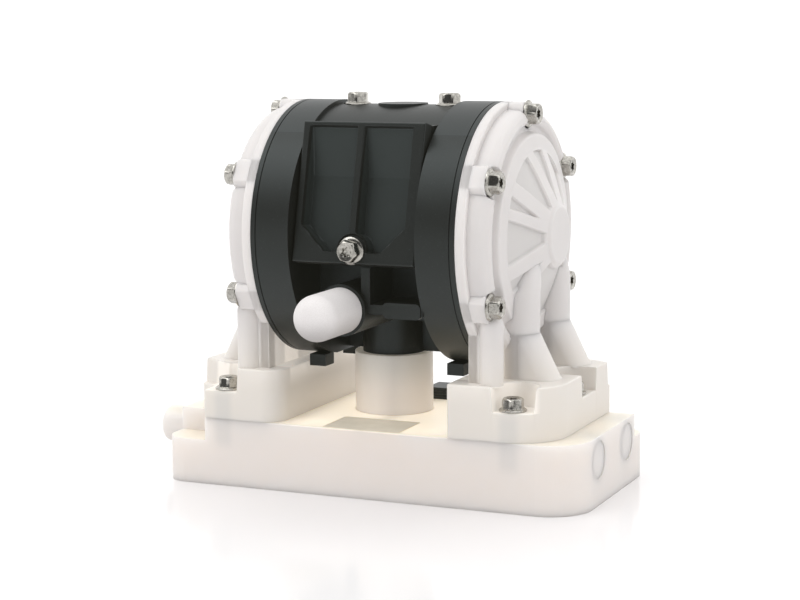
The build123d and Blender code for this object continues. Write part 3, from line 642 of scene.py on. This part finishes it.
def flange_screw(length, steps=96):
    """Flange screw standing on z = 0: shank, flange, hexagon with its chamfer, and socket.

    Each row of points lies at a radius that may change with the angle a. The hexagon's radius is half the
    width over flats divided by the cosine of the angle from the middle of the nearest flat. The socket's
    radius is its mean radius plus a cosine of six times the angle, which gives six lobes. The chamfer
    falls with the hexagon's radius outside a circle.
    """
    a = np.linspace(0, 2 * math.pi, steps, endpoint=False)
    flat = (a + math.pi / 6) % (math.pi / 3) - math.pi / 6
    hexagon = np.minimum(SCREW_HEX / 2 / np.cos(flat), SCREW_HEX * HEX_CORNER)
    chamfer_r = SCREW_HEX * HEX_CHAMFER
    socket = SOCKET_R + SOCKET_LOBE * np.cos(6 * a)
    head = SCREW_HEAD_H
    rows = [
        (SCREW_SHANK_R - 0.5, -length),
        (SCREW_SHANK_R, -length + 0.8),
        (SCREW_SHANK_R, 0.0),
        (SCREW_FLANGE_R - 0.3, 0.0),
        (SCREW_FLANGE_R, 0.3),
        (SCREW_FLANGE_R, 0.8),
        (SCREW_FLANGE_R - 0.35, 1.15),
        (SCREW_HEX * 0.60, 1.5),
        (hexagon + 0.12, 1.62),
        (hexagon, 1.8),
        (hexagon, head - 0.25 - (hexagon - chamfer_r) * 0.75),
        (chamfer_r + (hexagon - chamfer_r) * 0.55, head - 0.12 - (hexagon - chamfer_r) * 0.3),
        (chamfer_r, head),
        (chamfer_r - 0.35, head),
        (chamfer_r - 1.0, head - 0.35),
        (socket + 0.5, head - 0.42),
        (socket, head - 0.62),
        (socket * 0.96, head - 2.6),
    ]
    loops = [np.stack([r * np.cos(a), r * np.sin(a), z + 0 * a], axis=1) for r, z in rows]
    return closed_shell(loops, (0, 0, -length), (0, 0, head - SOCKET_DEPTH))


def joined(shells):
    """Several closed forms as one list of points and one of faces."""
    points, faces, shift = [], [], 0
    for some_points, some_faces in shells:
        points.append(some_points)
        faces += [[corner + shift for corner in face] for face in some_faces]
        shift += len(some_points)
    return np.concatenate(points), faces


def step_between(value, start, end):
    """Smooth step of an array: 0 at start and 1 at end, cubic between."""
    share = np.clip((value - start) / (end - start), 0, 1)
    return share * share * (3 - 2 * share)


def dome_face():
    """Turned face of a cap as loops round the pump axis, from the chamber behind it to the hub in front.

    A point lies at an angle a and a radius r. Its X follows the profile of the face over r. Pockets sink it
    by POCKET_DEPTH between the spokes: the distance across a spoke is r times the sine of the angle from its
    middle line. Round each screw the face is level with the screw's seat.
    """
    steps = 720
    far = 99.0
    a = np.linspace(0, 2 * math.pi, steps, endpoint=False)
    profile = np.array(FACE_PROFILE)
    loops = [np.stack([x + 0 * a, r * np.cos(a), r * np.sin(a)], axis=1) for r, x in BACK_PROFILE]
    for r in np.concatenate([np.linspace(*rows) for rows in FACE_ROWS]):
        x = np.interp(-r, -profile[:, 0], profile[:, 1]) + 0 * a
        sink = step_between(r, *POCKET_INNER_R) * (1 - step_between(r, *POCKET_OUTER_R)) * np.ones(steps)
        for width, angles in SPOKES:
            for angle in angles:
                off = a - math.radians(angle)
                across = np.where(np.cos(off) > 0, np.abs(r * np.sin(off)), far)
                sink = sink * step_between(across, width / 2 - 0.5, width / 2 + 0.5)
        x = x - POCKET_DEPTH * sink
        for centre in BOLT_ANGLES:
            away = np.hypot(r * np.cos(a) - BOLT_CIRCLE_R * math.cos(centre),
                            r * np.sin(a) - BOLT_CIRCLE_R * math.sin(centre))
            level = 1 - step_between(away, BOSS_R - BOSS_EDGE, BOSS_R + BOSS_EDGE)
            x = np.where(x > BOLT_SEAT_X, x + (BOLT_SEAT_X - x) * level, x)
        loops.append(np.stack([x, r * np.cos(a), r * np.sin(a)], axis=1))
    points, faces = closed_shell(loops, (BACK_PROFILE[0][1], 0, 0), (profile[-1, 1], 0, 0))
    return points + [0, 0, AXIS_Z], faces


def round_bar(places, steps=72):
    """Upright bar from round sections, each given as (x, y, z, radius)."""
    a = np.linspace(0, 2 * math.pi, steps, endpoint=False)
    turn = np.stack([np.cos(a), np.sin(a), 0 * a], axis=1)
    loops = [np.array([x, y, z]) + radius * turn for x, y, z, radius in places]
    return closed_shell(loops, places[0][:3], places[-1][:3])


def boss(centre):
    """Screw boss of a cap, at an angle: a round bar along X whose points stay within the drum's radius."""
    a = np.linspace(0, 2 * math.pi, 96, endpoint=False)
    middle_y, middle_z = BOLT_CIRCLE_R * math.cos(centre), BOLT_CIRCLE_R * math.sin(centre)
    back_x = DRUM_OUT_X + 0.2
    sections = [(back_x, BOSS_R), (BOLT_SEAT_X - BOSS_EDGE, BOSS_R), (BOLT_SEAT_X - 0.18, BOSS_R - 0.18),
                (BOLT_SEAT_X, BOSS_R - BOSS_EDGE)]
    loops = []
    for x, radius in sections:
        y = middle_y + radius * np.cos(a)
        z = middle_z + radius * np.sin(a)
        inside = np.minimum(1, (DRUM_R - 0.05) / np.hypot(y, z))
        loops.append(np.stack([x + 0 * a, y * inside, z * inside + AXIS_Z], axis=1))
    middle = (middle_y, middle_z + AXIS_Z)
    return closed_shell(loops, (back_x, *middle), (BOLT_SEAT_X, *middle))


def rounded_bar(sections, steps=96):
    """Upright bar from rounded rectangles, each given as (x0, x1, y0, y1, z, radius of the corners)."""
    a = np.linspace(0, 2 * math.pi, steps, endpoint=False) + math.pi / steps
    turn = np.stack([np.cos(a), np.sin(a)], axis=1)
    loops, middles = [], []
    for x0, x1, y0, y1, z, radius in sections:
        middle = np.array([(x0 + x1) / 2, (y0 + y1) / 2])
        half = np.array([x1 - x0, y1 - y0]) / 2 - radius
        flat = middle + np.sign(turn) * half + radius * turn
        loops.append(np.column_stack([flat, z + 0 * a]))
        middles.append((*middle, z))
    return closed_shell(loops, middles[0], middles[-1])


def leg(s):
    """Leg of the right cap on side s of the axis, and the web behind it.

    Its tip leans outward and towards the axis. At a share t of the tip's height its radius is
    LEG_R - TIP_NARROW * t ** 1.4.
    """
    y = s * LEG_Y
    sections = [(LEG_X, y, STAND_Z, LEG_R), (LEG_X, y, LEG_TOP_Z, LEG_R)]
    for t in (0.15, 0.3, 0.45, 0.6, 0.75, 0.9):
        sections.append((LEG_X + TIP_OUT * t, y - s * TIP_IN * t, LEG_TOP_Z + TIP_H * t,
                         LEG_R - TIP_NARROW * t ** 1.4))
    sections += [(LEG_X + TIP_OUT, y - s * TIP_IN, z, radius) for z, radius in TIP_END]
    y0, y1 = y - LEG_WEB_HALF_W, y + LEG_WEB_HALF_W
    web = [(DRUM_OUT_X, LEG_X, y0, y1, z, WEB_CORNER_R) for z in (STAND_Z, LEG_TOP_Z)]
    return [round_bar(sections), rounded_bar(web)]


def gusset(s):
    """Gusset in front of a leg: its front leans back from the foot to the leg, over a small fillet."""
    y = s * LEG_Y
    y0, y1 = y - GUSSET_HALF_W, y + GUSSET_HALF_W
    sections = []
    for t in (0.0, 0.04, 0.1, 0.25, 0.5, 0.75, 0.92, 1.0):
        z = STAND_Z + (GUSSET_TOP_Z - STAND_Z) * t
        fillet = GUSSET_FILLET * max(0, 1 - t / 0.1) ** 2
        reach = GUSSET_FOOT_X + (LEG_X + LEG_R - GUSSET_FOOT_X) * t + fillet
        sections.append((LEG_X - LEG_R, reach, y0, y1, z, GUSSET_R))
    half_x, half_y, height, radius = GUSSET_STEP
    sections.append((LEG_X - half_x, LEG_X + half_x, y - half_y, y + half_y, GUSSET_TOP_Z + height, radius))
    return rounded_bar(sections, 128)


def side_rib(s):
    """Rib on side s of the right cap: an upright round bar with a domed top, and its web to the drum."""
    y = s * RIB_Y
    dome = [(RIB_X, y, RIB_TOP_Z + RIB_R * math.sin(t), RIB_R * math.cos(t)) for t in np.linspace(0, 1.5, 9)]
    y0, y1 = sorted((s * SKIRT_HALF_W, s * (RIB_Y - RIB_R)))
    web = [(DRUM_OUT_X, RIB_X, y0, y1, z, WEB_CORNER_R) for z in (STAND_Z, RIB_WEB_TOP_Z)]
    return [round_bar([(RIB_X, y, STAND_Z, RIB_R), *dome]), rounded_bar(web)]


def legs_and_skirt():
    """Skirt of the right cap, and on both sides of the axis a leg, its gusset and a side rib."""
    skirt = [(DRUM_OUT_X, FLANGE_X, -SKIRT_HALF_W, SKIRT_HALF_W, z, 0.5) for z in (STAND_Z, SKIRT_TOP_Z)]
    shells = [rounded_bar(skirt)]
    for s in (-1, 1):
        shells += [*leg(s), gusset(s), *side_rib(s)]
    return joined(shells)


def rounded_outline(corners, gap):
    """Outline through corners given as (x, y, radius), with points about gap apart, the same way round.

    An arc of angle w goes from its first to its last point, both taken from its centre. A share t of the way
    along it is (sin((1 - t) w) first + sin(t w) last) / sin(w).
    """
    outline = []
    count = len(corners)
    for i, (x, y, radius) in enumerate(corners):
        here = np.array([x, y])
        before, after = (np.array(corners[(i + k) % count][:2]) - here for k in (-1, 1))
        before, after = before / np.linalg.norm(before), after / np.linalg.norm(after)
        half = math.acos(before @ after) / 2
        along = radius / math.tan(half)
        centre = here + (before + after) / np.linalg.norm(before + after) * radius / math.sin(half)
        w = math.pi - 2 * half
        t = np.linspace(0, 1, max(3, int(radius * w / gap)))[:, None]
        first, last = here + before * along - centre, here + after * along - centre
        outline.append(centre + (np.sin((1 - t) * w) * first + np.sin(t * w) * last) / math.sin(w))
    closed = []
    for i, arc in enumerate(outline):
        onward = outline[(i + 1) % count][0]
        steps = max(2, int(np.linalg.norm(onward - arc[-1]) / gap))
        straight = arc[-1] + (onward - arc[-1]) * np.linspace(0, 1, steps, endpoint=False)[1:, None]
        closed += [arc, straight]
    return np.concatenate(closed)


def foot_depth(x, y):
    """How far the top of a foot is sunk at a point by its three screw niches.

    Each niche has a distance that is negative inside it. The front and the side niche are half round and run
    out through the foot's wall. The rear one lies behind a slanted wall and round its screw.
    """
    front_x, front_y, front_r = FRONT_NICHE
    side_x, side_y, side_r = SIDE_NICHE
    wall_x, wall_start_y = REAR_WALL
    screw_x, screw_y, _ = FOOT_SCREWS[1]
    front = np.where(y < front_y, np.abs(x - front_x), np.hypot(x - front_x, y - front_y)) - front_r
    side = np.where(x > side_x, np.abs(y - side_y), np.hypot(x - side_x, y - side_y)) - side_r
    wall_y = wall_start_y - REAR_WALL_FALL * (x - wall_x) / REAR_WALL_RUN
    behind = np.maximum((wall_y - y) * REAR_WALL_COS, wall_x - x)
    rear = np.minimum(behind, np.hypot(x - screw_x, y - screw_y) - REAR_NICHE_R)
    low = FOOT_TOP_Z - NICHE_FLOOR_Z
    niches = ((front, low), (side, low - SIDE_NICHE_UP), (rear, low))
    soft = NICHE_SOFT
    return np.maximum.reduce([depth * (1 - step_between(away, -soft, soft)) for away, depth in niches])


def foot_shell():
    """Foot of the right cap: its outline shrinks towards a middle point while the height follows the niches.

    Its upper edge is round: at a share n of the edge's radius R outside the flat top it lies
    R (1 - sqrt(1 - n n)) lower.
    """
    outline = rounded_outline(FOOT_CORNERS, 0.45)
    middle = np.array(FOOT_MIDDLE)
    loops = [np.column_stack([outline, np.full(len(outline), BASE_TOP_Z)])]
    reach = np.linalg.norm(outline - middle, axis=1)
    edge_shares = [1.0, 0.9965, 0.992, 0.986, 0.979]
    for share in np.concatenate([edge_shares, np.linspace(0.97, 0.45, 76), np.linspace(0.43, 0.06, 20)]):
        flat = middle + (outline - middle) * share
        n = np.clip(1 - (1 - share) * reach / FOOT_EDGE_R, 0, 1)
        edge = FOOT_EDGE_R * (1 - np.sqrt(1 - n ** 2))
        loops.append(np.column_stack([flat, FOOT_TOP_Z - foot_depth(*flat.T) - edge]))
    return closed_shell(loops, (*middle, BASE_TOP_Z), (*middle, FOOT_TOP_Z))


def cover_height(u, v):
    """Height of the cover's face at u across and v up it: two channels beside a rib, and a screw boss.

    Each channel's distance is the least of the distances to its straight walls and to the slanted wall at its
    lower outer corner. Its floor is upright while the face leans, so it is deeper the lower it lies, down to
    CHANNEL_DEPTH. The edge of the face is round, as the foot's is.
    """
    low, corner, top = CHANNEL_UP
    depth = np.minimum(CHANNEL_DEPTH, CHANNEL_FOOT_DEPTH - CHANNEL_FALL * v)
    sunk = np.zeros_like(u)
    for outer, inner, slope in CHANNELS:
        way = np.sign(inner - outer)
        across = np.minimum((u - outer) * way, (inner - u) * way)
        run, climb = abs(slope - outer), corner - low
        slant = ((v - corner) * run + (u - outer) * way * climb) / math.hypot(run, climb)
        inside = np.minimum.reduce([across, v - low, top - v, slant])
        sunk = np.maximum(sunk, step_between(inside, -0.2, 0.9))
    away = np.hypot(u - COVER_SCREW_X, v - COVER_SCREW_UP)
    seat = COVER_SEAT_DEPTH * (1 - step_between(away, *COVER_SEAT_WALL))
    height = -depth * sunk * step_between(away, *COVER_BOSS_WALL) - seat
    n = np.clip(1 - np.minimum.reduce([COVER_HALF_W - np.abs(u), v, COVER_H - v]) / COVER_EDGE_R, 0, 1)
    return height - COVER_EDGE_R * (1 - np.sqrt(1 - n ** 2))


def cover_piece():
    """Cover as loops up its leaning face: along the face at cover_height, back along its flat rear."""
    side = np.array([32.4, 32.65, COVER_HALF_W])
    end = np.array([0.0, 0.15, 0.4])
    u = np.concatenate([-side[::-1], np.linspace(-32.1, 32.1, 200), side])
    rear = np.linspace(COVER_HALF_W, -COVER_HALF_W, 12)
    across = np.concatenate([u, rear])
    foot_y, foot_z = COVER_FOOT
    s, c = math.sin(COVER_LEAN), math.cos(COVER_LEAN)
    between = np.linspace(COVER_EDGE_R, COVER_H - COVER_EDGE_R, 210)
    loops = []
    for v in np.concatenate([end, between, COVER_H - end[::-1]]):
        out = np.concatenate([cover_height(u, v + 0 * u), -COVER_T + 0 * rear])
        loops.append(np.column_stack([across, foot_y + v * s - out * c, foot_z + v * c + out * s]))
    points, faces = closed_shell(loops, loops[0].mean(axis=0), loops[-1].mean(axis=0))
    piece = add_piece("valve_cover_face", points, faces, body_black, "black_plastic", 50.0)
    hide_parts("valve_cover")


def cap_pieces(side, name):
    """Detailed face and foot of one cap. The left cap is the right one turned half a turn about Z."""
    turned = np.array([side, side, 1])
    face = joined([dome_face(), *[boss(centre) for centre in BOLT_ANGLES], legs_and_skirt()])
    for title, (points, faces) in (("cap_face_", face), ("cap_foot_", foot_shell())):
        piece = add_piece(title + name, points * turned, faces, cap_white, "natural_plastic", 50.0)
        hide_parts("fluid_cap_" + name)


def screw_group(name, node, length, places):
    """One piece for all screws of a node: each place is a seat point, the way the head looks and a turn."""
    points, faces = flange_screw(length)
    shells = []
    for seat, way, turn in places:
        aim = Vector(way).to_track_quat("Z", "Y").to_matrix() @ Matrix.Rotation(turn, 3, "Z")
        shells.append((points @ np.array(aim).T + np.array(seat), faces))
    piece = add_piece(name, *joined(shells), bright_steel, "stainless")
    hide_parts(node)


def ring_places(side):
    """Seats of the six screws of a cap, each turned a little further than the one before."""
    places = []
    for i, angle in enumerate(BOLT_ANGLES):
        seat = (side * BOLT_SEAT_X, BOLT_CIRCLE_R * math.cos(angle), AXIS_Z + BOLT_CIRCLE_R * math.sin(angle))
        places.append((seat, (side, 0, 0), 0.35 + 0.21 * i))
    return places


def foot_places():
    """Seats of the six foot screws: the left cap's are the right cap's turned half a turn about Z."""
    places = []
    for side in (1, -1):
        for i, (x, y, z) in enumerate(FOOT_SCREWS):
            places.append(((side * x, side * y, z), (0, 0, 1), 0.2 + 0.3 * i))
    return places


def top_places():
    """Seats of the two screws beside the plug in the top of the body."""
    x, z = top_screw_high[0] - SCREW_FLANGE_R, top_screw_high[2] - SCREW_HEAD_H
    return [((s * x, 0, z), (0, 0, 1), 0.5 + s * 0.25) for s in (-1, 1)]


def cover_place():
    """Seat of the cover's screw, whose head looks to the front."""
    z = (cover_screw_low[2] + cover_screw_high[2]) / 2
    return [((COVER_SCREW_X, cover_screw_low[1] + SCREW_HEAD_H, z), (0, -1, 0), 0.3)]


cover_piece()
cap_pieces(1, "right")
cap_pieces(-1, "left")
screw_group("cap_screw_heads_right", "cap_screws_right", CAP_SCREW_LEN, ring_places(1))
screw_group("cap_screw_heads_left", "cap_screws_left", CAP_SCREW_LEN, ring_places(-1))
screw_group("foot_screw_heads", "foot_screws", FOOT_SCREW_LEN, foot_places())
screw_group("top_screw_heads", "top_screws", TOP_SCREW_LEN, top_places())
screw_group("cover_screw_head", "cover_screw", COVER_SCREW_LEN, cover_place())


def foil_plate():
    """Blank foil on the base: loops of a rounded rectangle that shrink to its middle, with a faint wave."""
    middle = np.array([sum(FOIL_X) / 2, sum(FOIL_Y) / 2])
    half = np.array([(FOIL_X[1] - FOIL_X[0]) / 2, (FOIL_Y[1] - FOIL_Y[0]) / 2]) - FOIL_CORNER_R
    a = np.linspace(0, 2 * math.pi, 80, endpoint=False)
    turn = np.stack([np.cos(a), np.sin(a)], axis=1)
    outline = np.sign(turn) * half + FOIL_CORNER_R * turn
    rows = [(1.0, 0.0), (1.0, FOIL_T * 0.7), (0.996, FOIL_T), (0.9, FOIL_T), (0.6, FOIL_T), (0.3, FOIL_T)]
    loops = []
    for share, z in rows:
        flat = outline * share + middle
        wave = 0.02 * np.sin(flat[:, 0] * 0.35) * np.cos(flat[:, 1] * 0.3) if z >= FOIL_T else 0 * a
        loops.append(np.column_stack([flat, BASE_TOP_Z + z + wave]))
    points, faces = closed_shell(loops, (*middle, BASE_TOP_Z), (*middle, BASE_TOP_Z + FOIL_T))
    add_piece("foil_plate", points, faces, foil(), "stainless")


foil_plate()


# Floor, light and camera


def pale_floor():
    """Wide white floor with a faint reflection, painted shade round the pump, and darker far out in front of
    it, where the polished parts mirror it.
    """
    half = 60.0
    corners = [(-half, -half, 0), (half, -half, 0), (half, half, 0), (-half, half, 0)]
    mesh = bpy.data.meshes.new("floor")
    mesh.from_pydata(corners, [], [(0, 1, 2, 3)])
    floor = bpy.data.objects.new("floor", mesh)
    bpy.context.scene.collection.objects.link(floor)
    finish = Finish("floor_white", Roughness=0.12, Specular_IOR_Level=0.5)
    tone = finish.noise(400.0, 2.0)
    colour = finish.blend(tone, (0.90, 0.895, 0.90), (0.89, 0.885, 0.89))
    # Painted shade: the floor is greyer round the pump.
    painted_floor_shade = 1 - finish.radius(finish.x * 0.75, finish.y).rise(70.0, 230.0)
    colour = finish.blend(painted_floor_shade * 0.8, colour, (0.79, 0.775, 0.785))
    far = (-finish.y).rise(450.0, 1500.0)
    finish.set(Base_Color=finish.blend(far, colour, (0.72, 0.72, 0.72)))
    seen = finish.node("ShaderNodeLightPath", out="Is Camera Ray")
    finish.shader.inputs["Emission Color"].default_value = (1.0, 1.0, 1.0, 1.0)
    finish.set(Emission_Strength=seen * 0.04)
    mesh.materials.append(finish.material)


def studio_light():
    """White surroundings and two soft lamps.

    Matt surfaces get more light from overhead and from the back. Polished ones mirror a darker zone in front.
    The camera sees the surroundings white.
    """
    world = bpy.data.worlds.new("studio")
    bpy.context.scene.world = world
    world.use_nodes = True
    tree = world.node_tree
    light = tree.nodes["Background"]
    way = Wire(tree, tree.nodes.new("ShaderNodeTexCoord").outputs["Generated"])
    parts = tree.nodes.new("ShaderNodeSeparateXYZ")
    feed(tree, parts.inputs[0], way)
    x, y, z = (Wire(tree, parts.outputs[i]) for i in range(3))
    path = tree.nodes.new("ShaderNodeLightPath")
    seen = Wire(tree, path.outputs["Is Camera Ray"]).high(Wire(tree, path.outputs["Is Transmission Ray"]))
    polished = Wire(tree, path.outputs["Is Glossy Ray"])
    front = (x * 0.25 - y * 0.95).rise(0.0, 0.35)
    dark = front * z.band(0.12, 0.84, 0.1)
    overhead = z.rise(0.6, 0.95)
    back = (y - x * 0.3).rise(0.1, 0.9) * (1 - z.rise(0.2, 0.6))
    matt = 0.90 + overhead * 0.25 + back * 0.6 + front * (1 - z.rise(0.1, 0.5)) * 0.12
    mirror = 1.05 + overhead * 0.2 + back * 0.25 - dark * 1.0
    light.inputs["Color"].default_value = (1.0, 0.995, 0.99, 1.0)
    feed(tree, light.inputs["Strength"], seen.high((1 - polished) * matt + polished * mirror))
    lamps = (("key", 7.0, 1.1, (-0.7, -0.7, 1.3)), ("fill", 2.5, 0.9, (1.1, -0.2, 0.8)))
    for name, energy, size, place in lamps:
        lamp = bpy.data.lights.new(name, "AREA")
        lamp.energy = energy
        lamp.size = size
        holder = bpy.data.objects.new(name, lamp)
        bpy.context.scene.collection.objects.link(holder)
        holder.location = place
        holder.rotation_euler = (Vector((0, 0, 0.1)) - holder.location).to_track_quat("-Z", "Y").to_euler()


def photo_camera():
    """Camera of the photograph: heading, tilt and roll in degrees, place in metres, focal length in px."""
    heading, tilt, roll = (math.radians(v) for v in (23.847, 8.350, -0.422))
    place = (0.41616, -0.94766, 0.24503)
    focal_px, frame_px, sensor = 2019.54, 800.0, 36.0
    level = Vector((math.cos(heading), math.sin(heading), 0))
    ahead = math.cos(tilt)
    forward = Vector((-math.sin(heading) * ahead, math.cos(heading) * ahead, -math.sin(tilt)))
    above = level.cross(forward)
    right = math.cos(roll) * level + math.sin(roll) * above
    up = math.cos(roll) * above - math.sin(roll) * level
    data = bpy.data.cameras.new("camera")
    data.sensor_width = sensor
    data.lens = focal_px / frame_px * sensor
    data.clip_end = 200.0
    camera = bpy.data.objects.new("camera", data)
    bpy.context.scene.collection.objects.link(camera)
    turn = Matrix((right, up, -forward)).transposed().to_4x4()
    turn.translation = place
    camera.matrix_world = turn
    bpy.context.scene.camera = camera


pale_floor()
studio_light()
photo_camera()
bpy.context.scene.view_settings.view_transform = "Standard"
